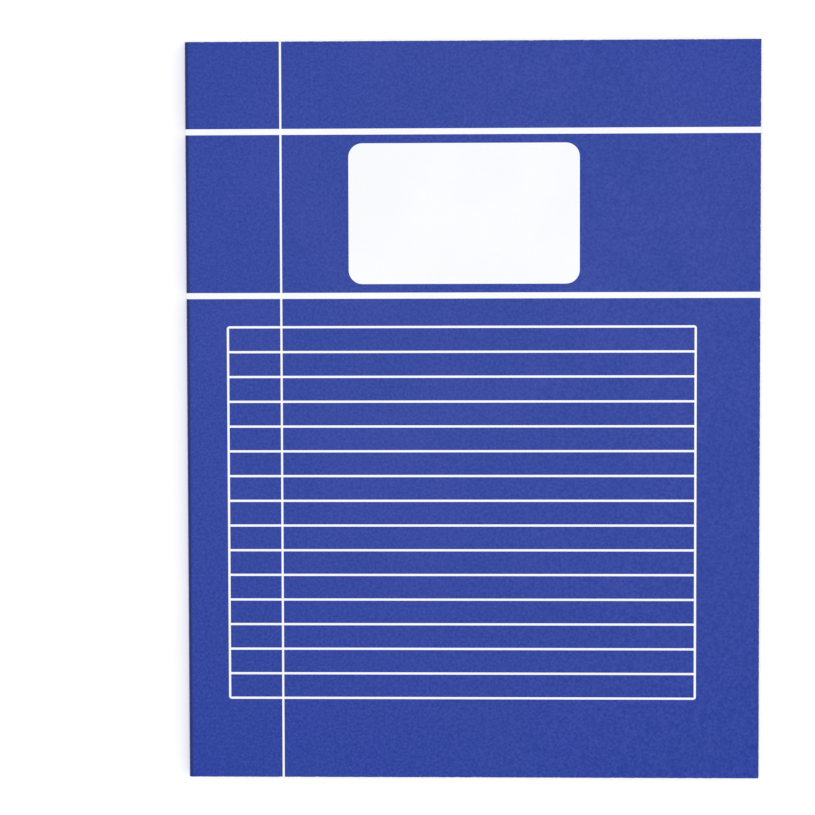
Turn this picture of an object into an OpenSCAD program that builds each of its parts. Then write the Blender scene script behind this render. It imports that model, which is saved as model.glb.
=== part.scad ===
// Composition notebook: ruled sheets folded once and nested, wrapped in one card cover
// and wire-stitched through the fold with two staples.
//
// It lies on its back cover. X runs from the fold to the fore edge, Y from the foot to
// the head, and Z is up. The origin is the middle of its underside. Millimetres.
// The cover is one card. It is drawn as front, fold strip and back, because it bends
// along the two hinge lines between them.

/* [Cover] */
// Width of the cover, from the fold to the fore edge
cover_w = 192.2; // [150:0.1:230]
// Height of the cover, from the foot to the head
cover_h = 247.65; // [200:0.05:300]
// Thickness of the cover card
cover_t = 0.35; // [0.25:0.05:0.5]

/* [Pages] */
// Number of sheets, each folded once into two leaves
sheets = 24; // [16:1:50]
// Thickness of one leaf
leaf_t = 0.09; // [0.08:0.01:0.12]
// Air between the pages and each cover
page_gap = 0.15; // [0.1:0.01:0.3]
// Room between the two covers at the fold when both are folded back flat
cover_pass_gap = 1.2; // [0.6:0.1:1.6]

/* [Staples] */
// Diameter of the stitching wire
wire_d = 0.5; // [0.4:0.05:0.6]
// Length of the crown, the stretch of wire outside the fold
crown_len = 13; // [11:0.5:16]
// Length of each leg's bent-over end inside the middle sheet
clinch_len = 4.5; // [3:0.1:4.8]
// Distance between the middles of the two staples
staple_pitch = 124; // [110:1:150]
// Height of the crown above the fold it is pressed into
crown_proud = 0.1; // [0.05:0.01:0.2]
// Room around the wire in the card and the paper
wire_gap = 0.08; // [0.05:0.01:0.15]
// Bend radius of the wire, at its centre line
wire_bend = 0.6; // [0.5:0.05:0.7]

/* [Print] */
// Depth of the white print in the cover's face
print_t = 0.05; // [0.03:0.01:0.1]
// Width of the two rules that wrap the cover
wrap_rule_w = 2; // [1:0.1:4]
// Distance from the head to the middle of the upper wrapping rule
upper_rule_y = 30.1; // [20:0.1:40]
// Distance from the head to the middle of the lower wrapping rule
lower_rule_y = 84.9; // [70:0.1:88]
// Width of the upright margin rule
margin_rule_w = 0.7; // [0.4:0.1:2]
// Distance from the fold to the middle of the margin rule
margin_rule_x = 32; // [20:0.1:45]
// Width of the name panel
panel_w = 77.3; // [50:0.1:90]
// Distance from the fold to the name panel
panel_x = 54.7; // [50:0.1:56]
// Blue left between the name panel and the rules above and below it
panel_gap = 2.9; // [1:0.1:6]
// Corner radius of the name panel
panel_r = 4.6; // [2:0.1:6]
// Width of the ruled box's lines
box_line_w = 0.75; // [0.4:0.05:1.2]
// Height of one row of the ruled box
row_h = 8.35; // [6:0.01:12]
// Distance from the head to the middle of the ruled box's top line
box_y = 95.4; // [92:0.1:105]
// Distance from the fold to the middle of the ruled box's left line
box_x = 14; // [8:0.1:20]
// Distance from the ruled box's right line to the fore edge
box_fore_margin = 21.5; // [10:0.1:30]
// Least height left clear below the ruled box
box_foot_margin = 26; // [15:1:40]
// Corner radius of the ruled box's frame
box_r = 1; // [0.5:0.1:2]

/* [Hidden] */
block_t = 2 * sheets * leaf_t;
total_t = block_t + 2 * (page_gap + cover_t);
mid_z = total_t / 2;
// Half the height of the strip between the hinge lines: the opened covers then pass clear
strip_half = (total_t + cover_pass_gap) / 4;
front_hinge_z = mid_z + strip_half;
fold_r = total_t - front_hinge_z;
spine_x = (crown_proud - cover_w) / 2;

// The pages' back is flat against the strip and rounded above and below it
back_flat_half = strip_half / 2;
back_r = block_t / 2 - back_flat_half;

wire_r = wire_d / 2;
crown_x = wire_r - crown_proud;
clinch_x = cover_t + block_t / 2;

box_rows = floor((cover_h - box_y - box_foot_margin) / row_h);
box_w = cover_w - box_x - box_fore_margin;
box_h = box_rows * row_h;
panel_h = lower_rule_y - upper_rule_y - wrap_rule_w - 2 * panel_gap;

// How far a cut runs past the face it opens
over = 0.2;
blue = [0.227, 0.298, 0.631];
white = [0.98, 0.984, 0.996];
paper = [0.96, 0.955, 0.93];
steel = [0.72, 0.73, 0.75];
$fn = 64;

// Frames: children drawn in the notebook's section, or flat on its front face

// Section with X from the fold and Y up, carried from the foot up to the height h
module along_height(h = cover_h, from_foot = 0) {
    translate([spine_x, from_foot + h - cover_h / 2, 0])
        rotate([90, 0, 0])
            linear_extrude(h) children();
}

// Plan of the front face from its corner at the fold and the head, sunk to the print's depth
module printed(above = 0) {
    translate([spine_x, cover_h / 2, total_t - print_t])
        linear_extrude(print_t + above) children();
}

// A piece of the front turned over to the back
module on_back() {
    translate([0, 0, total_t]) mirror([0, 0, 1]) children();
}

// Cover card

// Front half of the cover in section: a quarter fold from the hinge line, then the flat.
// It runs from depth under the outer face to above it.
module cover_section(depth, above = 0) {
    translate([fold_r, front_hinge_z])
        intersection() {
            difference() {
                circle(fold_r + above);
                circle(fold_r - depth);
            }
            translate([-2 * fold_r, 0]) square(2 * fold_r);
        }
    translate([fold_r, total_t - depth])
        square([cover_w - fold_r + above, depth + above]);
}

// The strip between the hinge lines in section
module strip_section(depth, above = 0) {
    translate([-above, mid_z - strip_half])
        square([depth + above, 2 * strip_half]);
}

// The two rules that wrap the cover, along the section drawn by the children
module wrap_rules() {
    for (y = [upper_rule_y, lower_rule_y])
        along_height(wrap_rule_w, cover_h - y - wrap_rule_w / 2) children();
}

// White print on the front

module rounded_rect(w, h, r) {
    translate([r, 0]) square([w - 2 * r, h]);
    translate([0, r]) square([w, h - 2 * r]);
    for (x = [r, w - r], y = [r, h - r])
        translate([x, y]) circle(r);
}

module name_panel() {
    translate([panel_x, -(lower_rule_y - wrap_rule_w / 2 - panel_gap)])
        rounded_rect(panel_w, panel_h, panel_r);
}

module margin_rule(past_ends = 0) {
    translate([margin_rule_x - margin_rule_w / 2, -cover_h - past_ends])
        square([margin_rule_w, cover_h + 2 * past_ends]);
}

module ruled_box() {
    translate([box_x, -box_y - box_h]) {
        difference() {
            translate([-box_line_w / 2, -box_line_w / 2])
                rounded_rect(box_w + box_line_w, box_h + box_line_w, box_r);
            translate([box_line_w / 2, box_line_w / 2])
                square([box_w - box_line_w, box_h - box_line_w]);
        }
        for (row = [1 : box_rows - 1])
            translate([0, row * row_h - box_line_w / 2])
                square([box_w, box_line_w]);
    }
}

// All of the front's print; above runs it past the faces when it cuts its own pocket
module front_artwork(above = 0) {
    wrap_rules() cover_section(print_t, above);
    printed(above) {
        name_panel();
        margin_rule(above);
        ruled_box();
    }
}

module back_artwork(above = 0) {
    on_back() wrap_rules() cover_section(print_t, above);
}

// Staple: crown outside the fold, legs through it, ends bent over towards each other.
// The radius r draws the wire itself or the room it needs.

// Quarter bend in the XY plane from +Y round to +X, about the origin
module wire_corner(r) {
    rotate([0, 0, 90])
        rotate_extrude(angle = 90) translate([wire_bend, 0]) circle(r, $fn = 32);
}

module half_staple(r) {
    bend_y = crown_len / 2 - wire_bend;
    translate([crown_x, 0, 0]) rotate([-90, 0, 0]) cylinder(r = r, h = bend_y);
    translate([crown_x + wire_bend, bend_y, 0]) wire_corner(r);
    translate([crown_x + wire_bend, crown_len / 2, 0])
        rotate([0, 90, 0]) cylinder(r = r, h = clinch_x - crown_x - 2 * wire_bend);
    translate([clinch_x - wire_bend, bend_y, 0]) mirror([1, 0, 0]) wire_corner(r);
    translate([clinch_x, bend_y - clinch_len, 0])
        rotate([-90, 0, 0]) cylinder(r = r, h = clinch_len);
}

module at_staple(side) {
    translate([spine_x, side * staple_pitch / 2, mid_z]) children();
}

module staple(side, r = wire_r) {
    at_staple(side) {
        half_staple(r);
        mirror([0, 1, 0]) half_staple(r);
    }
}

// The dent that a crown presses into the fold, wide enough for the wire and skin around it
module crown_dent(side, skin) {
    dent_r = wire_r + wire_gap + skin;
    at_staple(side)
        translate([crown_x, -crown_len / 2 - dent_r, 0])
            rotate([-90, 0, 0]) cylinder(r = dent_r, h = crown_len + 2 * dent_r);
}

// Nodes

module front_cover() {
    color(blue)
        difference() {
            along_height() cover_section(cover_t);
            front_artwork(over);
        }
}

module front_print() {
    color(white) front_artwork();
}

module back_cover() {
    color(blue)
        difference() {
            on_back() along_height() cover_section(cover_t);
            back_artwork(over);
        }
}

module back_print() {
    color(white) back_artwork();
}

module cover_fold() {
    color(blue)
        difference() {
            union() {
                along_height() strip_section(cover_t);
                intersection() {
                    for (side = [-1, 1]) crown_dent(side, cover_t);
                    along_height() translate([cover_t / 2, 0]) square([block_t, total_t]);
                }
            }
            wrap_rules() strip_section(print_t, over);
            for (side = [-1, 1]) staple(side, wire_r + wire_gap);
        }
}

module fold_print() {
    color(white)
        difference() {
            wrap_rules() strip_section(print_t);
            for (side = [-1, 1]) staple(side, wire_r + wire_gap);
        }
}

module page_block() {
    color(paper)
        difference() {
            along_height() {
                translate([cover_t, mid_z - back_flat_half])
                    square([back_r, 2 * back_flat_half]);
                translate([cover_t + back_r, mid_z - block_t / 2])
                    square([cover_w - cover_t - back_r, block_t]);
                for (side = [-1, 1])
                    translate([cover_t + back_r, mid_z + side * back_flat_half])
                        circle(back_r);
            }
            for (side = [-1, 1]) {
                crown_dent(side, cover_t + wire_gap);
                staple(side, wire_r + wire_gap);
            }
        }
}

module staple_upper() {
    color(steel) staple(1);
}

module staple_lower() {
    color(steel) staple(-1);
}

front_cover();
front_print();
back_cover();
back_print();
cover_fold();
fold_print();
page_block();
staple_upper();
staple_lower();
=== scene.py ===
"""Composition notebook with a blue card cover, white print, ruled sheets and two staples.

The packed model gives the notebook's faces and hinge lines. Each piece is modelled on
them in metres: X runs from the fold to the fore edge, Y from the foot to the head.
"""

import math
import random

import bmesh
import bpy
from bpy.props import FloatProperty, FloatVectorProperty, IntProperty, PointerProperty
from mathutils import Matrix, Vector


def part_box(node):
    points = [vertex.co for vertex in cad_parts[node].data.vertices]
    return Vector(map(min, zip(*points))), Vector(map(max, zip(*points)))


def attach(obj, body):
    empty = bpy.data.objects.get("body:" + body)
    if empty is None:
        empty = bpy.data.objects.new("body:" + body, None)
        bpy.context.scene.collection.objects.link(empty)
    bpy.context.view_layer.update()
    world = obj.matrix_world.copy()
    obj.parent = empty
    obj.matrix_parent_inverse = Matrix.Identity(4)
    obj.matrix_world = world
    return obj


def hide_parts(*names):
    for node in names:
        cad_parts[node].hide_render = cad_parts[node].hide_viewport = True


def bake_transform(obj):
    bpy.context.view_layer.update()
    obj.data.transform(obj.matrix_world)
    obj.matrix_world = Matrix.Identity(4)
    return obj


bl_info = {
    "name": "Composition Notebook",
    "version": (1, 0, 0),
    "blender": (4, 5, 0),
    "location": "3D Viewport > Sidebar > Notebook",
    "description": "Models the finished notebook around its packed solids",
    "category": "Object",
}

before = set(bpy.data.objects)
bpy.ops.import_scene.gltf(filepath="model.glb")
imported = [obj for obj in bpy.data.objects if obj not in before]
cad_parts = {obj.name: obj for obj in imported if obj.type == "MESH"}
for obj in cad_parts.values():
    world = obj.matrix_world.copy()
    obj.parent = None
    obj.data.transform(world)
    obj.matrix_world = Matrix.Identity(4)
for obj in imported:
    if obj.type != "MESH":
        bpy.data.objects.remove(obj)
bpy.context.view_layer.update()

COVER_LOW, COVER_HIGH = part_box("front_cover")
STRIP_LOW, STRIP_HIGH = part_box("cover_fold")
BLOCK_LOW, BLOCK_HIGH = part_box("page_block")
STAPLES = ("staple_upper", "staple_lower")

# Lines of the notebook that the packed solids give
FOLD_X = COVER_LOW.x
FORE_X = COVER_HIGH.x
FOOT_Y = COVER_LOW.y
HEAD_Y = COVER_HIGH.y
TOP_Z = COVER_HIGH.z
MID_Z = (STRIP_LOW.z + STRIP_HIGH.z) / 2
HINGE_Z = STRIP_HIGH.z
FOLD_R = TOP_Z - HINGE_Z
STRIP_HALF = HINGE_Z - MID_Z
BLOCK_HALF = (BLOCK_HIGH.z - BLOCK_LOW.z) / 2

# Attribute that keeps where each point of a piece lies at rest
PLACE = "rest_place"
# How close two vertices lie that are one
WELD = 1e-7
# Edges sharper than this stay sharp in the shading
SMOOTH_ANGLE = math.radians(35)
# Edges sharper than this are the card's cut edges
CUT_ANGLE = math.radians(60)
# Mesh steps in the flat card that curves into the bend
EASE_STEPS = 4
# Shares of a corner's lift along the page, from the fold to the fore edge
RISE = (0, 0, 0.12, 0.5, 1)
# Share of the lower corner's lift that is left halfway between the corners
WAIST = 0.6
# Share of the cover's lift that the leaves take
LEAF_SHARE = 0.7
# A dent is one wire deep, less this share of how far the crown stands proud
PROUD_SHARE = 0.9
# Seed of the sheets' uneven trimming
TRIM_SEED = 24
# Thickness of the ruling's ink, in its heights above the leaf: the rest sinks in
INK_BODY = 1.5
# Node groups already built, by the functions that build them
SHARED = {}


def linear(red, green, blue):
    """A colour given as 0 to 255, in the linear values that a shader takes."""
    shares = [c / 255 for c in (red, green, blue)]
    return [c / 12.92 if c <= 0.04045 else ((c + 0.055) / 1.055) ** 2.4 for c in shares]


def length(name, description, default, **limits):
    """A length property in metres."""
    return FloatProperty(
        name=name,
        description=description,
        default=default,
        precision=5,
        unit="LENGTH",
        subtype="DISTANCE",
        **limits,
    )


def colour(name, description, default):
    """A colour property."""
    return FloatVectorProperty(
        name=name,
        description=description,
        default=default,
        min=0,
        max=1,
        size=3,
        subtype="COLOR",
    )


def share(name, description, default):
    """A property from 0 to 1."""
    return FloatProperty(
        name=name, description=description, default=default, min=0, max=1, subtype="FACTOR"
    )


class CoverSizes(bpy.types.PropertyGroup):
    """Sizes of the card cover"""

    card: length("Card", "Thickness of the cover card", 0.00035, min=0.0002, max=0.0006)
    cell: length("Cell", "Size of the mesh cells on the flat card", 0.008, min=0.002, max=0.03)
    cut_round: length("Cut rounding", "Rounding of the card's cut edges", 0.00005, min=0)
    rim: length("Rim", "Width of the narrow mesh band along the cut edges", 0.0002, min=0.0001)
    head_lift: length("Head lift", "How far the corner at the head springs up", 0.0008)
    foot_lift: length("Foot lift", "How far the corner at the foot springs up", 0.0005)
    bend_reach: length("Bend reach", "How far from its hinge line the card bends", 0.002)
    bend_ease: length("Bend ease", "Width of the flat card that curves into the bend", 0.0012)
    dent_reach: length("Dent reach", "How far a staple's dent spreads round its crown", 0.0009)
    dent_cell: length("Dent cell", "Size of the mesh cells along a dent", 0.00035, min=0.0001)
    fold_cell: length("Fold cell", "Size of the mesh cells across the fold", 0.00022, min=0.0001)
    fold_steps: IntProperty(
        name="Fold steps", description="Mesh steps round each fold", default=12, min=3, max=24
    )


class PrintSizes(bpy.types.PropertyGroup):
    """Sizes and places of the white print, from the fold and the head"""

    proud: length("Proud", "Height of the print above the card", 0.000014)
    depth: length("Depth", "Depth of the print under the card's face", 0.00001)
    wrap_width: length("Wrapping rule", "Width of the two rules round the cover", 0.002)
    upper_rule: length("Upper rule", "Middle of the upper wrapping rule", 0.0301)
    lower_rule: length("Lower rule", "Middle of the lower wrapping rule", 0.0849)
    margin_width: length("Margin rule", "Width of the upright margin rule", 0.0007)
    margin_place: length("Margin place", "Middle of the margin rule", 0.032)
    panel_width: length("Panel width", "Width of the name panel", 0.0773)
    panel_place: length("Panel place", "Left side of the name panel", 0.0547)
    panel_gap: length("Panel gap", "Blue between the panel and the rules", 0.0029)
    panel_round: length("Panel corners", "Radius of the panel's corners", 0.0046)
    line_width: length("Box line", "Width of the ruled box's lines", 0.00075)
    row: length("Row", "Height of one row of the ruled box", 0.00835)
    box_top: length("Box top", "Middle of the box's top line", 0.0954)
    box_left: length("Box left", "Middle of the box's left line", 0.014)
    box_fore: length("Box right", "From the box's right line to the fore edge", 0.0215)
    box_round: length("Box corners", "Radius of the box's corners", 0.001)
    rows: IntProperty(name="Rows", description="Rows of the box", default=15, min=1, max=30)


class PageSizes(bpy.types.PropertyGroup):
    """Sizes of the folded sheets and their ruling"""

    sheets: IntProperty(
        name="Sheets", description="Sheets, each folded once", default=24, min=8, max=50
    )
    paper: length("Paper", "Thickness of one leaf", 0.000076, min=0.00005, max=0.00015)
    fold_round: share("Fold rounding", "Radius of a sheet's fold, in its half height", 0.62)
    cell: length("Cell", "Size of the mesh cells on the leaves", 0.02)
    trim: length("Trim", "Largest unevenness of the cut edges", 0.00012)
    line_width: length("Line width", "Width of the page's ruled lines", 0.00025)
    line_pitch: length("Line pitch", "Distance between the ruled lines", 0.0087)
    line_top: length("Top line", "From the head to the first ruled line", 0.032)
    line_start: length("Line start", "From the fold to where the ruled lines begin", 0.004)
    line_count: IntProperty(name="Lines", description="Ruled lines on a page", default=24)
    margin: length("Margin", "From the page's left side to its margin line", 0.032)
    ink: length("Ink", "Height of the ruling's ink above the leaf", 0.000008)


class NotebookColours(bpy.types.PropertyGroup):
    """Colours, wear and painted shade of the notebook's finishes"""

    blue: colour("Cover blue", "Blue of the cover", linear(25, 55, 156))
    patch: colour("Cover patches", "Blue of the softly clouded patches", linear(29, 59, 155))
    # Dark blue that the painted shade along the fold darkens the ink towards
    fold_shade_blue: colour("Crease", "Dark blue of the creased fold", linear(22, 32, 92))
    white: colour("Print white", "White of the print", linear(250, 251, 254))
    core: colour("Card core", "Colour of the card where it shows", linear(214, 213, 214))
    inside: colour("Card inside", "Unprinted inside of the cover", linear(236, 234, 229))
    paper: colour("Paper", "Colour of the leaves", linear(246, 244, 238))
    line: colour("Ruled line", "Blue of the page's lines", linear(146, 176, 214))
    margin: colour("Margin line", "Red of the page's margin line", linear(220, 116, 126))
    wire: colour("Wire", "Colour of the staples' wire", linear(206, 208, 212))
    floor: colour("Floor", "Colour of the floor", linear(253, 253, 253))
    fold_wear: share("Fold wear", "How pale the blue is where the fold is cracked", 0.28)
    print_wear: share("Print wear", "How dull the white print is where the fold is cracked", 0.18)
    # How strongly the painted shade darkens the ink beside the fold
    painted_fold_shade: share("Crease depth", "How dark the crease beside the fold is", 0.8)
    edge_wear: share("Edge wear", "How pale the blue is along the cut edges", 0.6)
    wear_width: length("Wear width", "How far the wear reaches in from a cut edge", 0.00035)


class StudioSettings(bpy.types.PropertyGroup):
    """Camera, light and floor"""

    camera: FloatVectorProperty(
        name="Camera place",
        description="Where the camera stands",
        default=(0.00531, 0.04832, 0.90532),
        subtype="TRANSLATION",
        unit="LENGTH",
    )
    turn: FloatVectorProperty(
        name="Camera turn",
        description="How the camera is turned from looking straight down",
        default=[math.radians(a) for a in (-2.988, 1.715, -0.162)],
        subtype="EULER",
        unit="ROTATION",
    )
    lens: FloatProperty(
        name="Lens",
        description="Focal length of the camera",
        default=118.62,
        unit="CAMERA",
    )
    sky: FloatProperty(
        name="Sky", description="Strength of the light from all round", default=0.8, min=0
    )
    lamp: FloatProperty(
        name="Lamp", description="Power of the soft lamp", default=2.0, min=0, unit="POWER"
    )
    lamp_place: FloatVectorProperty(
        name="Lamp place",
        description="Where the soft lamp hangs",
        default=(0.01, 0.045, 1.0),
        subtype="TRANSLATION",
        unit="LENGTH",
    )
    lamp_size: length("Lamp size", "Width of the soft lamp", 0.57)
    floor: length("Floor size", "Radius of the floor", 4.0)
    floor_drop: length("Floor drop", "How far under the notebook the floor lies", 0.0001)
    lit_reach: length("Lit reach", "How far from its middle the floor is lit and shaded", 0.15)
    plain_reach: length("Plain reach", "How far from its middle the floor turns plain white", 0.9)
    glow: share("Glow", "Share of plain white in the part that is lit and shaded", 0.12)


# Modelling: each step acts on the active piece, in edit mode


def start_clean():
    """Leaves edit mode and deselects everything."""
    if bpy.context.object and bpy.context.object.mode != "OBJECT":
        bpy.ops.object.mode_set(mode="OBJECT")
    bpy.ops.object.select_all(action="DESELECT")


def activate(piece):
    """Makes a piece the only selected one."""
    start_clean()
    piece.select_set(True)
    bpy.context.view_layer.objects.active = piece


def edit(piece):
    """Makes a piece the only selected one, in edit mode."""
    activate(piece)
    bpy.ops.object.mode_set(mode="EDIT")


def cells(span, size):
    """How many cells of about that size fill a span."""
    return max(1, round(abs(span) / size))


def flat_sheet(name, low, high, level, cell):
    """A grid in the XY plane between two corners at a level, left in edit mode."""
    start_clean()
    middle = ((low[0] + high[0]) / 2, (low[1] + high[1]) / 2, level)
    width, height = high[0] - low[0], high[1] - low[1]
    bpy.ops.mesh.primitive_grid_add(
        x_subdivisions=cells(width, cell),
        y_subdivisions=cells(height, cell),
        size=1,
        location=middle,
    )
    return fit(name, (width, height, 1), middle)


def upright_sheet(name, low, high, x, steps):
    """A grid in the YZ plane at x that faces away from the pages, left in edit mode."""
    start_clean()
    middle = (x, (low[0] + high[0]) / 2, (low[1] + high[1]) / 2)
    bpy.ops.mesh.primitive_grid_add(
        x_subdivisions=steps[1],
        y_subdivisions=steps[0],
        size=1,
        location=middle,
        rotation=(0, -math.pi / 2, 0),
    )
    return fit(name, (1, high[0] - low[0], high[1] - low[1]), middle)


def fit(name, spans, middle):
    """Names the new primitive, stretches it about its middle and rests it at the origin."""
    piece = bpy.context.object
    piece.name = piece.data.name = name
    bpy.ops.object.transform_apply(location=True, rotation=True, scale=True)
    bpy.ops.object.mode_set(mode="EDIT")
    bpy.ops.mesh.select_all(action="SELECT")
    bpy.ops.transform.resize(value=spans, center_override=middle)
    return piece


def pick(test, kind="VERT"):
    """Selects the vertices, or the faces by their middles, whose place passes the test."""
    bpy.ops.mesh.select_mode(type=kind)
    bpy.ops.mesh.select_all(action="DESELECT")
    mesh = bmesh.from_edit_mesh(bpy.context.object.data)
    if kind == "VERT":
        for vertex in mesh.verts:
            vertex.select = test(vertex.co)
    else:
        for face in mesh.faces:
            face.select = test(face.calc_center_median())
    mesh.select_flush_mode()
    bmesh.update_edit_mesh(bpy.context.object.data)


def cut_at(axis, places):
    """Cuts the whole mesh across an axis at each place."""
    for place in places:
        point, normal = Vector((0, 0, 0)), Vector((0, 0, 0))
        point[axis], normal[axis] = place, 1
        bpy.ops.mesh.select_all(action="SELECT")
        bpy.ops.mesh.bisect(plane_co=point, plane_no=normal, threshold=WELD)


def face_out(towards):
    """Turns an open sheet's faces alike, with the middle of them facing the given way."""
    bpy.ops.mesh.select_all(action="SELECT")
    bpy.ops.mesh.remove_doubles(threshold=WELD)
    bpy.ops.mesh.normals_make_consistent(inside=False)
    mesh = bmesh.from_edit_mesh(bpy.context.object.data)
    facing = sum((f.normal * f.calc_area() for f in mesh.faces), Vector())
    if facing.dot(Vector(towards)) < 0:
        bpy.ops.mesh.flip_normals()


def round_fold(x, level, radius, steps):
    """Spins the sheet's edge at x down through a quarter turn of that radius."""
    pick(lambda co: co.x < x + WELD)
    bpy.ops.mesh.spin(
        steps=steps, angle=math.pi / 2, center=(x, 0, level - radius), axis=(0, 1, 0)
    )


def mirror_selected():
    """Mirrors what is selected from one side of the notebook's middle to the other."""
    bpy.ops.transform.resize(value=(1, 1, -1), center_override=(0, 0, MID_Z))


def turn_over():
    """Turns a sheet drawn on the front over to the back."""
    bpy.ops.mesh.select_all(action="SELECT")
    mirror_selected()


def apply_modifier(piece, kind, **settings):
    """Adds a modifier to the piece and applies it."""
    activate(piece)
    modifier = piece.modifiers.new(kind.title(), kind)
    for name, value in settings.items():
        setattr(modifier, name, value)
    bpy.ops.object.modifier_apply(modifier=modifier.name)


def thicken(piece, depth, inner=0):
    """Gives a sheet its thickness inwards; the inner face and the rim take slot inner."""
    apply_modifier(
        piece,
        "SOLIDIFY",
        thickness=depth,
        offset=-1,
        use_even_offset=True,
        material_offset=inner,
        material_offset_rim=inner,
    )


def spring_up(piece, sizes, part=1.0):
    """Lifts a piece towards its fore-edge corners, as a closed notebook relaxes."""
    start_clean()
    middle = ((FOLD_X + FORE_X) / 2, (FOOT_Y + HEAD_Y) / 2, TOP_Z / 2)
    bpy.ops.object.add(type="LATTICE", location=middle)
    lattice = bpy.context.object
    lattice.scale = (FORE_X - FOLD_X, HEAD_Y - FOOT_Y, TOP_Z)
    foot, head = sizes.foot_lift, sizes.head_lift
    waist = min(foot, head) * WAIST
    along = (foot, (foot + waist) / 2, waist, (head + waist) / 2, head)
    grid = lattice.data
    grid.points_u, grid.points_v, grid.points_w = len(RISE), len(along), 2
    grid.interpolation_type_w = "KEY_LINEAR"
    for number, point in enumerate(grid.points):
        row, u = divmod(number, len(RISE))
        w, v = divmod(row, len(along))
        point.co_deform.z += w * part * RISE[u] * along[v] / TOP_Z
    bpy.context.view_layer.update()
    apply_modifier(piece, "LATTICE", object=lattice)
    bpy.data.objects.remove(lattice)
    activate(piece)


def finish_piece(piece, *materials):
    """Smooths the shading, keeps where each point lies at rest and adds the materials."""
    activate(piece)
    bpy.ops.object.shade_smooth_by_angle(angle=SMOOTH_ANGLE)
    mesh = piece.data
    places = mesh.attributes.new(PLACE, "FLOAT_VECTOR", "POINT")
    places.data.foreach_set("vector", [c for v in mesh.vertices for c in v.co])
    for material in materials:
        mesh.materials.append(material)


def joined(name, pieces):
    """Joins several pieces into one of that name."""
    start_clean()
    for piece in pieces:
        piece.select_set(True)
    bpy.context.view_layer.objects.active = pieces[0]
    bpy.ops.object.join()
    pieces[0].name = pieces[0].data.name = name
    return pieces[0]


def bend_at_fold(piece):
    """Bakes the piece's place and turn into its mesh."""
    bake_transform(piece)


# Node groups that the finishes share


class Tree:
    """Adds nodes to a material or a group, with their inputs set or linked by name."""

    def __init__(self, tree):
        self.tree = tree

    def put(self, socket, value):
        """Links another socket to this one, or sets its value."""
        if isinstance(value, bpy.types.NodeSocket):
            self.tree.links.new(value, socket)
        else:
            socket.default_value = value

    def add(self, kind, inputs=(), **settings):
        node = self.tree.nodes.new("ShaderNode" + kind)
        for name, value in settings.items():
            setattr(node, name, value)
        for name, value in dict(inputs).items():
            self.put(node.inputs[name], value)
        return node

    def maths(self, operation, first, second=0.0, third=0.0):
        inputs = {0: first, 1: second, 2: third}
        return self.add("Math", inputs, operation=operation).outputs[0]

    def mix(self, factor, first, second, blend_type="MIX"):
        node = self.add("Mix", {0: factor, 6: first, 7: second}, data_type="RGBA")
        node.blend_type = blend_type
        return node.outputs[2]

    def noise(self, place, scale, detail=2.0, roughness=0.5, distortion=0.0):
        inputs = {
            "Vector": place,
            "Scale": scale,
            "Detail": detail,
            "Roughness": roughness,
            "Distortion": distortion,
        }
        return self.add("TexNoise", inputs).outputs[0]

    def between(self, value, low, high, to_low=0.0, to_high=1.0, smooth=False):
        """Maps the range from low to high onto another and clamps it there."""
        inputs = {0: value, 1: low, 2: high, 3: to_low, 4: to_high}
        kind = "SMOOTHSTEP" if smooth else "LINEAR"
        return self.add("MapRange", inputs, interpolation_type=kind).outputs[0]

    def apart(self, vector):
        return self.add("SeparateXYZ", {0: vector}).outputs


def group(name, inputs, outputs):
    """A new node group with named inputs, each with its default, and named outputs."""
    made = bpy.data.node_groups.new(name, "ShaderNodeTree")
    kinds = {3: "NodeSocketVector", 4: "NodeSocketColor"}
    for label, default in inputs.items():
        kind = kinds[len(default)] if isinstance(default, tuple) else "NodeSocketFloat"
        socket = made.interface.new_socket(label, in_out="INPUT", socket_type=kind)
        socket.default_value = default
    for label, kind in outputs.items():
        made.interface.new_socket(label, in_out="OUTPUT", socket_type="NodeSocket" + kind)
    return made, Tree(made), made.nodes.new("NodeGroupInput").outputs


def close_group(made, results):
    """Links a group's results to its named outputs."""
    end = made.nodes.new("NodeGroupOutput")
    for label, socket in results.items():
        made.links.new(socket, end.inputs[label])
    return made


def print_mottling():
    """Soft clouds and fine specks in a printed colour, with a painted sheen in the specks."""
    made, tree, given = group(
        "Print mottling",
        {
            "Place": (0, 0, 0),
            "Colour": (1, 1, 1, 1),
            "Patches": (1, 1, 1, 1),
            "Clouding": 0.5,
            "Specks": 0.1,
            "Grain": 0.0,
        },
        {"Colour": "Color", "Unevenness": "Float"},
    )
    soft = tree.noise(given["Place"], 34, detail=3, roughness=0.55)
    clouds = tree.between(soft, 0.36, 0.64, smooth=True)
    specks = tree.noise(given["Place"], 1150, detail=3)
    clouded = tree.mix(
        tree.maths("MULTIPLY", clouds, given["Clouding"]), given["Colour"], given["Patches"]
    )
    off_middle = tree.maths("SUBTRACT", specks, 0.5)
    tone = tree.maths("MULTIPLY_ADD", off_middle, given["Specks"], 1)
    # Painted sheen: the specks lift and lower the colour evenly in every channel, standing in for
    # the satin's sheen
    painted_sheen = tree.maths("MULTIPLY", off_middle, given["Grain"])
    printed = tree.mix(1.0, clouded, tone, "MULTIPLY")
    half_clouds = tree.maths("MULTIPLY", clouds, 0.5)
    return close_group(
        made,
        {
            "Colour": tree.mix(1.0, printed, painted_sheen, "ADD"),
            "Unevenness": tree.maths("MULTIPLY_ADD", specks, 0.5, half_clouds),
        },
    )


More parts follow.
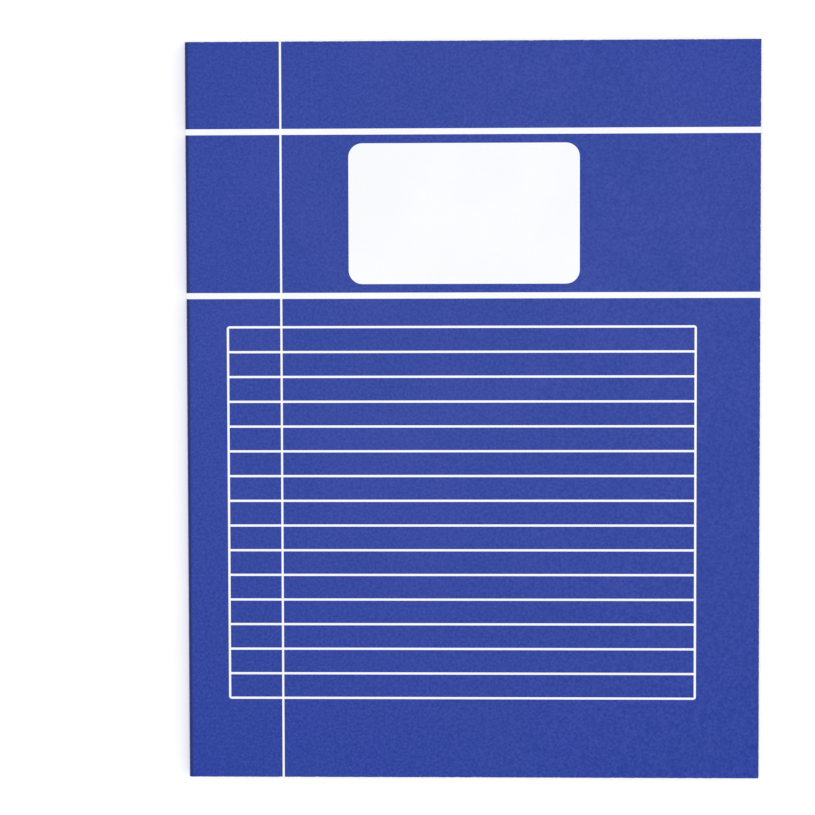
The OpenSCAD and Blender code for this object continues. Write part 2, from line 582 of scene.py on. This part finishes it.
def paper_grain():
    """Fibres and cloudy thickness of card and paper."""
    made, tree, given = group(
        "Paper grain",
        {"Place": (0, 0, 0), "Fibres": 2400.0},
        {"Height": "Float", "Tone": "Float"},
    )
    fibres = tree.noise(
        given["Place"], given["Fibres"], detail=4, roughness=0.65, distortion=1.2
    )
    # The clouds are nine times as large as the fibres
    wide = tree.maths("DIVIDE", given["Fibres"], 9)
    clouds = tree.noise(given["Place"], wide, detail=3, roughness=0.6)
    height = tree.maths("MULTIPLY_ADD", fibres, 0.7, tree.maths("MULTIPLY", clouds, 0.3))
    return close_group(made, {"Height": height, "Tone": clouds})


def cut_edge_wear():
    """Ragged pale wear along the cover's cut edges: its fore edge, head and foot."""
    made, tree, given = group(
        "Cut edge wear",
        {"Place": (0, 0, 0), "Fore edge": 0.1, "Half height": 0.12, "Width": 0.001},
        {"Mask": "Float"},
    )
    place = tree.apart(given["Place"])
    side = tree.maths("SUBTRACT", given["Fore edge"], place[0])
    end = tree.maths("SUBTRACT", given["Half height"], tree.maths("ABSOLUTE", place[1]))
    from_edge = tree.maths("MINIMUM", side, end)
    rough = tree.noise(given["Place"], 700, detail=4, roughness=0.7)
    reach = tree.maths("MULTIPLY", given["Width"], tree.between(rough, 0.42, 0.75))
    mask = tree.maths("DIVIDE", tree.maths("SUBTRACT", reach, from_edge), given["Width"])
    return close_group(made, {"Mask": tree.between(mask, 0, 0.25)})


def fold_wear():
    """Cracked pale line on the fold's two bends, and painted shade: a dark band just inside it."""
    made, tree, given = group(
        "Fold wear",
        {"Place": (0, 0, 0), "Fold": 0.0, "Middle": 0.0, "Strip": 0.0016, "Bend": 0.001},
        {"Pale": "Float", "Dark": "Float"},
    )
    place = tree.apart(given["Place"])
    # Both ways across the fold are in radii of the bend: in from the fold, and up the bend
    inward = tree.maths("DIVIDE", tree.maths("SUBTRACT", place[0], given["Fold"]), given["Bend"])
    height = tree.maths("ABSOLUTE", tree.maths("SUBTRACT", place[2], given["Middle"]))
    bend = tree.maths("DIVIDE", tree.maths("SUBTRACT", height, given["Strip"]), given["Bend"])
    rough = tree.noise(given["Place"], 900, detail=4, roughness=0.7)
    off_line = tree.maths("ABSOLUTE", tree.maths("SUBTRACT", bend, 0.15))
    line = tree.between(off_line, 0.1, 0.45, to_low=1, to_high=0, smooth=True)
    near = tree.between(inward, 0.12, 0.25, to_low=1, to_high=0, smooth=True)
    cracked = tree.between(rough, 0.38, 0.56)
    pale = tree.maths("MULTIPLY", tree.maths("MULTIPLY", line, near), cracked)
    # Painted shade on the bend, in a band from about a sixth of its radius to one and a half radii
    # in from the fold
    shadow = tree.maths(
        "MULTIPLY",
        tree.between(inward, 0.15, 0.4, smooth=True),
        tree.between(inward, 0.8, 1.5, to_low=1, to_high=0, smooth=True),
    )
    return close_group(made, {"Pale": pale, "Dark": shadow})


def shared(maker):
    """The node group that a maker builds, built only once."""
    if maker not in SHARED:
        SHARED[maker] = maker()
    return SHARED[maker]


class Finish(Tree):
    """A new material whose patterns read where each point of the piece lies at rest."""

    def __init__(self, name, from_object=False):
        self.material = bpy.data.materials.new(name)
        self.material.use_nodes = True
        super().__init__(self.material.node_tree)
        self.shader = self.tree.nodes["Principled BSDF"]
        if from_object:
            self.place = self.add("TexCoord").outputs["Object"]
        else:
            self.place = self.add("Attribute", attribute_name=PLACE).outputs["Vector"]

    def use(self, maker, **inputs):
        """Places a shared node group, its inputs named with _ for a space."""
        sockets = {label.replace("_", " "): value for label, value in inputs.items()}
        node = self.add("Group", {"Place": self.place, **sockets}, node_tree=shared(maker))
        return node.outputs

    def set(self, **inputs):
        """Sets or links the shader's own inputs, named with _ for a space."""
        for label, value in inputs.items():
            self.put(self.shader.inputs[label.replace("_", " ")], value)

    def bump(self, height, depth, strength=1.0):
        """Raises the surface by a height pattern, up to the given depth in metres."""
        inputs = {"Strength": strength, "Distance": depth, "Height": height}
        self.set(Normal=self.add("Bump", inputs).outputs[0])


def opaque(colour):
    """A property's colour with its alpha."""
    return (*colour, 1)


def fold_masks(finish):
    """The fold's wear and its painted shade, for this notebook."""
    return finish.use(fold_wear, Fold=FOLD_X, Middle=MID_Z, Strip=STRIP_HALF, Bend=FOLD_R)


def printed_card(colours):
    """Blue printed face of the cover card, satin, softly clouded, worn at its edges and with
    painted shade along the fold.
    """
    finish = Finish("Blue printed card")
    ink = finish.use(
        print_mottling,
        Colour=opaque(colours.blue),
        Patches=opaque(colours.patch),
        Clouding=0.8,
        Specks=0.385,
        # Strength of the painted sheen in the specks
        Grain=0.058,
    )
    fold = fold_masks(finish)
    edge = finish.use(
        cut_edge_wear,
        Fore_edge=FORE_X,
        Half_height=(HEAD_Y - FOOT_Y) / 2,
        Width=colours.wear_width,
    )
    # Painted shade along the fold: the ink darkens towards a dark blue in a band beside it
    painted_fold_shade = finish.maths("MULTIPLY", fold["Dark"], colours.painted_fold_shade)
    shadowed = finish.mix(painted_fold_shade, ink["Colour"], opaque(colours.fold_shade_blue))
    worn = finish.maths(
        "MAXIMUM",
        finish.maths("MULTIPLY", fold["Pale"], colours.fold_wear),
        finish.maths("MULTIPLY", edge["Mask"], colours.edge_wear),
    )
    grain = finish.use(paper_grain, Fibres=1500)
    # Where it is worn, the card is rougher and lies a little lower
    finish.set(
        Base_Color=finish.mix(worn, shadowed, opaque(colours.core)),
        Roughness=finish.maths(
            "ADD",
            finish.between(ink["Unevenness"], 0.2, 0.8, to_low=0.37, to_high=0.45),
            finish.maths("MULTIPLY", worn, 0.3),
        ),
        Specular_IOR_Level=0.25,
    )
    height = finish.maths("SUBTRACT", grain["Height"], finish.maths("MULTIPLY", worn, 0.8))
    finish.bump(height, depth=0.00001)
    return finish.material


def white_ink(colours):
    """White print, as smooth as the blue round it, cracked where it crosses the fold."""
    finish = Finish("White print")
    white = colours.white
    ink = finish.use(
        print_mottling,
        Colour=opaque(white),
        Patches=opaque([c * 0.975 for c in white]),
        Clouding=0.6,
        Specks=0.035,
    )
    worn = finish.maths("MULTIPLY", fold_masks(finish)["Pale"], colours.print_wear)
    grain = finish.use(paper_grain, Fibres=1500)
    finish.set(
        Base_Color=finish.mix(worn, ink["Colour"], opaque(colours.core)),
        Roughness=finish.between(ink["Unevenness"], 0.2, 0.8, to_low=0.36, to_high=0.46),
        Specular_IOR_Level=0.25,
    )
    finish.bump(grain["Height"], depth=0.000008)
    return finish.material


def plain_card(colours):
    """Unprinted card: the cover's inside and its cut edges."""
    finish = Finish("Plain card")
    grain = finish.use(paper_grain, Fibres=1300)
    inside = colours.inside
    finish.set(
        Base_Color=finish.mix(
            finish.between(grain["Tone"], 0.3, 0.7),
            opaque([c * 0.96 for c in inside]),
            opaque(inside),
        ),
        Roughness=finish.between(grain["Height"], 0.3, 0.7, to_low=0.75, to_high=0.9),
        Specular_IOR_Level=0.3,
    )
    finish.bump(grain["Height"], depth=0.00003)
    return finish.material


def leaf_paper(colours):
    """Writing paper of the leaves, a little darker where the fibres lie thin."""
    finish = Finish("Writing paper")
    grain = finish.use(paper_grain, Fibres=2600)
    paper = colours.paper
    finish.set(
        Base_Color=finish.mix(
            finish.between(grain["Tone"], 0.3, 0.7),
            opaque([c * 0.95 for c in paper]),
            opaque(paper),
        ),
        Roughness=finish.between(grain["Height"], 0.3, 0.7, to_low=0.8, to_high=0.95),
        Specular_IOR_Level=0.25,
    )
    finish.bump(grain["Height"], depth=0.00002)
    return finish.material


def ruling_ink(name, ink):
    """Thin printed line on paper, broken a little by the fibres."""
    finish = Finish(name)
    grain = finish.use(paper_grain, Fibres=2600)
    finish.set(
        Base_Color=finish.mix(
            finish.between(grain["Height"], 0.35, 0.75, to_high=0.45),
            opaque(ink),
            opaque([c ** 0.6 for c in ink]),
        ),
        Roughness=finish.between(grain["Height"], 0.3, 0.7, to_low=0.7, to_high=0.9),
        Specular_IOR_Level=0.25,
    )
    return finish.material


def staple_wire(colours):
    """Galvanised stitching wire with draw marks along it."""
    finish = Finish("Staple wire", from_object=True)
    drawn = finish.add("Mapping", {"Vector": finish.place, "Scale": (9, 0.6, 9)}).outputs[0]
    marks = finish.noise(drawn, 900, detail=3, roughness=0.7)
    dull = finish.noise(finish.place, 500, detail=3, roughness=0.6)
    wire = colours.wire
    finish.set(
        Base_Color=finish.mix(
            finish.between(dull, 0.35, 0.65, to_high=0.6),
            opaque(wire),
            opaque([c * 0.7 for c in wire]),
        ),
        Metallic=1.0,
        Roughness=finish.between(dull, 0.3, 0.7, to_low=0.24, to_high=0.42),
    )
    finish.bump(marks, depth=0.00001, strength=0.6)
    return finish.material


def floor_finish(colours, studio):
    """Plain pale floor: lit and shaded near the notebook, plain white far from it."""
    finish = Finish("Pale floor", from_object=True)
    soft = finish.noise(finish.place, 3)
    floor = colours.floor
    far = finish.add("VectorMath", {0: finish.place}, operation="LENGTH").outputs["Value"]
    plain = finish.between(far, studio.lit_reach, studio.plain_reach, to_low=studio.glow)
    seen = finish.maths("MULTIPLY", seen_plainly(finish), plain)
    finish.set(
        Base_Color=finish.mix(soft, opaque(floor), opaque([c * 0.997 for c in floor])),
        Roughness=0.9,
        Specular_IOR_Level=0.0,
        Emission_Color=finish.mix(seen, (0, 0, 0, 1), (1, 1, 1, 1)),
        Emission_Strength=1.0,
    )
    return finish.material


def seen_plainly(tree):
    """1 for what the camera, a reflection or a view through glass sees, and 0 for light."""
    ray = tree.add("LightPath").outputs
    seen = tree.maths("MAXIMUM", ray["Is Camera Ray"], ray["Is Glossy Ray"])
    return tree.maths("MAXIMUM", seen, ray["Is Transmission Ray"])


# Pieces


def cover_sheet(name, low, high, sizes, proud=0.0):
    """The front's face between two heights, spun down round the fold to its hinge line."""
    start = FOLD_X + FOLD_R
    piece = flat_sheet(name, (start, low), (FORE_X, high), TOP_Z + proud, sizes.cell)
    cut_at(0, [start + sizes.bend_ease * step / EASE_STEPS for step in range(1, EASE_STEPS + 1)])
    round_fold(start, TOP_Z + proud, FOLD_R + proud, sizes.fold_steps)
    return piece


def hold_edges(rim):
    """Cuts a narrow band along the cut edges, so that their rounding leaves the rest flat."""
    cut_at(0, [FORE_X - rim])
    cut_at(1, [FOOT_Y + rim, HEAD_Y - rim])


def rule_heights(sizes):
    """Lowest and highest Y of each wrapping rule."""
    half = sizes.wrap_width / 2
    middles = (HEAD_Y - sizes.upper_rule, HEAD_Y - sizes.lower_rule)
    return [(middle - half, middle + half) for middle in middles]


def rounded_plate(name, low, high, radius, level, cell):
    """A flat plate with rounded corners, cut into cells and left in edit mode."""
    start_clean()
    width, height = high[0] - low[0], high[1] - low[1]
    middle = ((low[0] + high[0]) / 2, (low[1] + high[1]) / 2, level)
    bpy.ops.mesh.primitive_plane_add(size=1, location=middle)
    piece = fit(name, (width, height, 1), middle)
    bpy.ops.mesh.bevel(offset=radius, segments=8, affect="VERTICES")
    across, up = cells(width, cell), cells(height, cell)
    cut_at(0, [low[0] + width * n / across for n in range(1, across)])
    cut_at(1, [low[1] + height * n / up for n in range(1, up)])
    return piece


def panel_corners(sizes):
    """Lower left and upper right corner of the name panel."""
    (_, below), (above, _) = reversed(rule_heights(sizes))
    left = FOLD_X + sizes.panel_place
    return (
        (left, below + sizes.panel_gap),
        (left + sizes.panel_width, above - sizes.panel_gap),
    )


def ruled_box(sizes, level, cell):
    """The box's lines: a plate whose rows are cut out."""
    half = sizes.line_width / 2
    left, right = FOLD_X + sizes.box_left, FORE_X - sizes.box_fore
    top = HEAD_Y - sizes.box_top
    lines = [top - sizes.row * n for n in range(sizes.rows + 1)]
    sides_of_rows = [y + side * half for y in lines[1:-1] for side in (-1, 1)]
    box = rounded_plate(
        "box_lines",
        (left - half, lines[-1] - half),
        (right + half, top + half),
        sizes.box_round,
        level,
        cell,
    )
    cut_at(0, [left + half, right - half])
    cut_at(1, [top - half, *sides_of_rows, lines[-1] + half])

    def open_row(co):
        between = any(low + half < co.y < high - half for high, low in zip(lines, lines[1:]))
        return between and left + half < co.x < right - half

    pick(open_row, "FACE")
    bpy.ops.mesh.delete(type="FACE")
    return box


def folded_sheet(number, sizes, chance):
    """One sheet, folded once, in its place among the others; number 0 is the outermost."""
    inset = (number + 0.5) * BLOCK_HALF / sizes.sheets
    half = BLOCK_HALF - inset
    radius = half * sizes.fold_round
    start = BLOCK_LOW.x + inset + radius
    level = MID_Z + half
    trims = [chance.uniform(0, sizes.trim) for _ in range(3)]
    piece = flat_sheet(
        f"sheet_{number}",
        (start, FOOT_Y + trims[0]),
        (FORE_X - trims[1], HEAD_Y - trims[2]),
        level,
        sizes.cell,
    )
    round_fold(start, level, radius, steps=4)
    pick(lambda co: co.z < level - radius + WELD)
    bpy.ops.mesh.extrude_region_move(
        TRANSFORM_OT_translate={"value": (0, 0, radius - half)}
    )
    bpy.ops.mesh.select_all(action="SELECT")
    bpy.ops.mesh.duplicate()
    mirror_selected()
    face_out((-1, 0, 0))
    return piece


class NOTEBOOK_OT_covers(bpy.types.Operator):
    """Model the front and the back of the card cover"""

    bl_idname = "notebook.covers"
    bl_label = "Card covers"

    def execute(self, context):
        sizes = context.scene.notebook_cover
        finishes = (
            printed_card(context.scene.notebook_colours),
            plain_card(context.scene.notebook_colours),
        )
        for body in ("front_cover", "back_cover"):
            piece = cover_sheet(body + "_card", FOOT_Y, HEAD_Y, sizes)
            hold_edges(sizes.rim)
            if body == "back_cover":
                turn_over()
            face_out((0, 0, 1 if body == "front_cover" else -1))
            spring_up(piece, sizes)
            round_and_finish(piece, sizes, finishes)
            bend_at_fold(piece)
            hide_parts(body)
        return {"FINISHED"}


def round_and_finish(piece, sizes, finishes):
    """Thickens a sheet of card inwards, rounds its cut edges and gives it its finishes."""
    activate(piece)
    for finish in finishes:
        piece.data.materials.append(finish)
    thicken(piece, sizes.card, inner=1)
    select_cut_edges(piece)
    bpy.ops.mesh.bevel(offset=sizes.cut_round, segments=2, affect="EDGES")
    finish_piece(piece)


def select_cut_edges(piece):
    """Selects the sharp edges, but not those that meet the next piece at a hinge line."""
    edit(piece)
    bpy.ops.mesh.select_mode(type="EDGE")
    bpy.ops.mesh.select_all(action="DESELECT")
    bpy.ops.mesh.edges_select_sharp(sharpness=CUT_ANGLE)
    mesh = bmesh.from_edit_mesh(piece.data)
    for edge in mesh.edges:
        from_middle = [abs(vertex.co.z - MID_Z) for vertex in edge.verts]
        if all(abs(height - STRIP_HALF) < WELD for height in from_middle):
            edge.select = False
    mesh.select_flush_mode()
    bmesh.update_edit_mesh(piece.data)


class NOTEBOOK_OT_fold(bpy.types.Operator):
    """Model the strip of card at the fold, dented by the staples"""

    bl_idname = "notebook.fold"
    bl_label = "Fold strip"

    def execute(self, context):
        sizes = context.scene.notebook_cover
        piece = upright_sheet(
            "cover_fold_card",
            (FOOT_Y, MID_Z - STRIP_HALF),
            (HEAD_Y, MID_Z + STRIP_HALF),
            FOLD_X,
            (cells(HEAD_Y - FOOT_Y, sizes.cell), cells(2 * STRIP_HALF, sizes.fold_cell)),
        )
        for staple in STAPLES:
            press_dent(*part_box(staple), sizes)
        face_out((-1, 0, 0))
        round_and_finish(
            piece,
            sizes,
            (bpy.data.materials["Blue printed card"], bpy.data.materials["Plain card"]),
        )
        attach(piece, "pages")
        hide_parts("cover_fold")
        return {"FINISHED"}


def press_dent(low, high, sizes):
    """Presses the fold in where a staple's crown lies, with a soft slope round it."""
    wire = high.z - low.z
    first, last = low.y - sizes.dent_reach, high.y + sizes.dent_reach
    steps = cells(last - first, sizes.dent_cell)
    cut_at(1, [first + (last - first) * n / steps for n in range(steps + 1)])
    pick(
        lambda co: low.y + wire / 4 < co.y < high.y - wire / 4
        and abs(co.z - MID_Z) < wire / 3
    )
    bpy.ops.transform.translate(
        value=(wire - (FOLD_X - low.x) * PROUD_SHARE, 0, 0),
        use_proportional_edit=True,
        proportional_edit_falloff="SMOOTH",
        proportional_size=sizes.dent_reach,
    )


class NOTEBOOK_OT_front_print(bpy.types.Operator):
    """Model the white print on the front: rules, ruled box and name panel"""

    bl_idname = "notebook.front_print"
    bl_label = "Front print"

    def execute(self, context):
        cover, sizes = context.scene.notebook_cover, context.scene.notebook_print
        level = TOP_Z + sizes.proud
        depth = sizes.proud + sizes.depth
        parts = [
            cover_sheet("wrapping_rule", low, high, cover, sizes.proud)
            for low, high in rule_heights(sizes)
        ]
        for part in parts:
            edit(part)
            face_out((0, 0, 1))
        low, high = panel_corners(sizes)
        parts.append(
            rounded_plate("name_panel", low, high, sizes.panel_round, level, cover.cell)
        )
        parts.append(ruled_box(sizes, level, cover.cell))
        # The upright rule is printed over the others
        middle = FOLD_X + sizes.margin_place
        parts.append(
            flat_sheet(
                "margin_rule",
                (middle - sizes.margin_width / 2, FOOT_Y),
                (middle + sizes.margin_width / 2, HEAD_Y),
                level + sizes.proud / 4,
                cover.cell,
            )
        )
        piece = joined("front_cover_print", parts)
        spring_up(piece, cover)
        thicken(piece, depth)
        finish_piece(piece, white_ink(context.scene.notebook_colours))
        bend_at_fold(piece)
        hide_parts("front_print")
        return {"FINISHED"}


class NOTEBOOK_OT_wrapping_print(bpy.types.Operator):
    """Model the rules where they run on over the fold and the back"""

    bl_idname = "notebook.wrapping_print"
    bl_label = "Fold and back print"

    def execute(self, context):
        cover, sizes = context.scene.notebook_cover, context.scene.notebook_print
        ink = bpy.data.materials["White print"]
        back, fold = [], []
        for low, high in rule_heights(sizes):
            back.append(cover_sheet("back_rule", low, high, cover, sizes.proud))
            turn_over()
            face_out((0, 0, -1))
            fold.append(
                upright_sheet(
                    "fold_rule",
                    (low, MID_Z - STRIP_HALF),
                    (high, MID_Z + STRIP_HALF),
                    FOLD_X - sizes.proud,
                    (1, 4),
                )
            )
        for name, parts, node in (
            ("back_cover_print", back, "back_print"),
            ("cover_fold_print", fold, "fold_print"),
        ):
            piece = joined(name, parts)
            thicken(piece, sizes.proud + sizes.depth)
            finish_piece(piece, ink)
            if node == "back_print":
                bend_at_fold(piece)
            else:
                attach(piece, "pages")
            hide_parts(node)
        return {"FINISHED"}


class NOTEBOOK_OT_leaves(bpy.types.Operator):
    """Model the folded sheets, nested in one another"""

    bl_idname = "notebook.leaves"
    bl_label = "Folded sheets"

    def execute(self, context):
        sizes = context.scene.notebook_pages
        chance = random.Random(TRIM_SEED)
        sheets = [folded_sheet(n, sizes, chance) for n in range(sizes.sheets)]
        piece = joined("page_leaves", sheets)
        spring_up(piece, context.scene.notebook_cover, LEAF_SHARE)
        apply_modifier(piece, "SOLIDIFY", thickness=sizes.paper, offset=0)
        finish_piece(piece, leaf_paper(context.scene.notebook_colours))
        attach(piece, "pages")
        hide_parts("page_block")
        return {"FINISHED"}


def on_both_pages(name, parts, sizes, cover, finish):
    """Joins lines drawn on the first page and the last, and gives them their ink."""
    piece = joined(name, parts)
    spring_up(piece, cover, LEAF_SHARE)
    thicken(piece, sizes.ink * INK_BODY)
    finish_piece(piece, finish)
    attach(piece, "pages")


class NOTEBOOK_OT_ruling(bpy.types.Operator):
    """Model the printed lines of the first and the last page"""

    bl_idname = "notebook.ruling"
    bl_label = "Page ruling"

    def execute(self, context):
        sizes, cover = context.scene.notebook_pages, context.scene.notebook_cover
        colours = context.scene.notebook_colours
        half = sizes.line_width / 2
        ends = (FOLD_X + sizes.line_start, FORE_X - 2 * sizes.trim)
        top = HEAD_Y - sizes.line_top
        # Face of the outermost leaf, and the ink on it
        leaf = MID_Z + BLOCK_HALF * (1 - 0.5 / sizes.sheets) + sizes.paper / 2
        level = leaf + sizes.ink
        lines, margins = [], []
        for side in (1, -1):
            lines.append(
                flat_sheet("line", (ends[0], top - half), (ends[1], top + half), level, sizes.cell)
            )
            apply_modifier(
                lines[-1],
                "ARRAY",
                count=sizes.line_count,
                use_relative_offset=False,
                use_constant_offset=True,
                constant_offset_displace=(0, -sizes.line_pitch, 0),
            )
            # The margin line is printed over the others
            middle = FOLD_X + sizes.margin if side == 1 else FORE_X - sizes.margin
            margins.append(
                flat_sheet(
                    "margin",
                    (middle - half, FOOT_Y + 2 * sizes.trim),
                    (middle + half, HEAD_Y - 2 * sizes.trim),
                    level + sizes.ink / 2,
                    sizes.cell,
                )
            )
            if side == -1:
                for part in (lines[-1], margins[-1]):
                    edit(part)
                    turn_over()
                    bpy.ops.mesh.flip_normals()
        on_both_pages(
            "page_lines", lines, sizes, cover, ruling_ink("Ruled line ink", colours.line)
        )
        on_both_pages(
            "page_margin_lines", margins, sizes, cover, ruling_ink("Margin ink", colours.margin)
        )
        return {"FINISHED"}


class NOTEBOOK_OT_staples(bpy.types.Operator):
    """Give the two staples their wire finish"""

    bl_idname = "notebook.staples"
    bl_label = "Staples"

    def execute(self, context):
        wire = staple_wire(context.scene.notebook_colours)
        for staple in STAPLES:
            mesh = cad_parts[staple].data
            mesh.materials.clear()
            mesh.materials.append(wire)
        return {"FINISHED"}


class NOTEBOOK_OT_stage(bpy.types.Operator):
    """Lay the floor, hang the light and place the camera"""

    bl_idname = "notebook.stage"
    bl_label = "Floor, light and camera"

    def execute(self, context):
        colours, studio = context.scene.notebook_colours, context.scene.notebook_studio
        start_clean()
        bpy.ops.mesh.primitive_circle_add(
            vertices=96, radius=studio.floor, fill_type="NGON", location=(0, 0, -studio.floor_drop)
        )
        floor = context.object
        floor.name = "floor"
        floor.data.materials.append(floor_finish(colours, studio))

        bpy.ops.object.light_add(type="AREA", location=studio.lamp_place)
        lamp = context.object
        lamp.rotation_euler = (-lamp.location).to_track_quat("-Z", "Y").to_euler()
        lamp.data.shape = "DISK"
        lamp.data.size = studio.lamp_size
        lamp.data.energy = studio.lamp

        sky = bpy.data.worlds.new("Studio")
        sky.use_nodes = True
        context.scene.world = sky
        tree = Tree(sky.node_tree)
        background = sky.node_tree.nodes["Background"]
        background.inputs["Color"].default_value = (1, 1, 1, 1)
        strength = tree.between(seen_plainly(tree), 0, 1, to_low=studio.sky)
        tree.put(background.inputs["Strength"], strength)

        bpy.ops.object.camera_add(location=studio.camera, rotation=studio.turn)
        camera = context.object
        camera.data.lens = studio.lens
        context.scene.camera = camera
        context.scene.view_settings.view_transform = "Standard"
        return {"FINISHED"}


SETTINGS = {
    "notebook_cover": CoverSizes,
    "notebook_print": PrintSizes,
    "notebook_pages": PageSizes,
    "notebook_colours": NotebookColours,
    "notebook_studio": StudioSettings,
}
OPERATORS = (
    NOTEBOOK_OT_covers,
    NOTEBOOK_OT_fold,
    NOTEBOOK_OT_front_print,
    NOTEBOOK_OT_wrapping_print,
    NOTEBOOK_OT_leaves,
    NOTEBOOK_OT_ruling,
    NOTEBOOK_OT_staples,
    NOTEBOOK_OT_stage,
)


class NOTEBOOK_PT_pieces(bpy.types.Panel):
    """The notebook's pieces, sizes and colours"""

    bl_idname = "NOTEBOOK_PT_pieces"
    bl_label = "Composition Notebook"
    bl_space_type = "VIEW_3D"
    bl_region_type = "UI"
    bl_category = "Notebook"

    def draw(self, context):
        for operator in OPERATORS:
            self.layout.operator(operator.bl_idname)
        for name, settings in SETTINGS.items():
            box = self.layout.box()
            box.label(text=settings.__doc__)
            for entry in settings.__annotations__:
                box.prop(getattr(context.scene, name), entry)


def register():
    """Registers the settings, the operators and the panel."""
    for name, settings in SETTINGS.items():
        bpy.utils.register_class(settings)
        setattr(bpy.types.Scene, name, PointerProperty(type=settings))
    for item in (*OPERATORS, NOTEBOOK_PT_pieces):
        bpy.utils.register_class(item)


def unregister():
    """Takes back what register added."""
    for item in reversed((*OPERATORS, NOTEBOOK_PT_pieces)):
        bpy.utils.unregister_class(item)
    for name, settings in SETTINGS.items():
        delattr(bpy.types.Scene, name)
        bpy.utils.unregister_class(settings)


def main():
    """Makes the whole notebook and its stage."""
    register()
    bpy.ops.notebook.covers()
    bpy.ops.notebook.fold()
    bpy.ops.notebook.front_print()
    bpy.ops.notebook.wrapping_print()
    bpy.ops.notebook.leaves()
    bpy.ops.notebook.ruling()
    bpy.ops.notebook.staples()
    bpy.ops.notebook.stage()


if __name__ == "__main__":
    main()
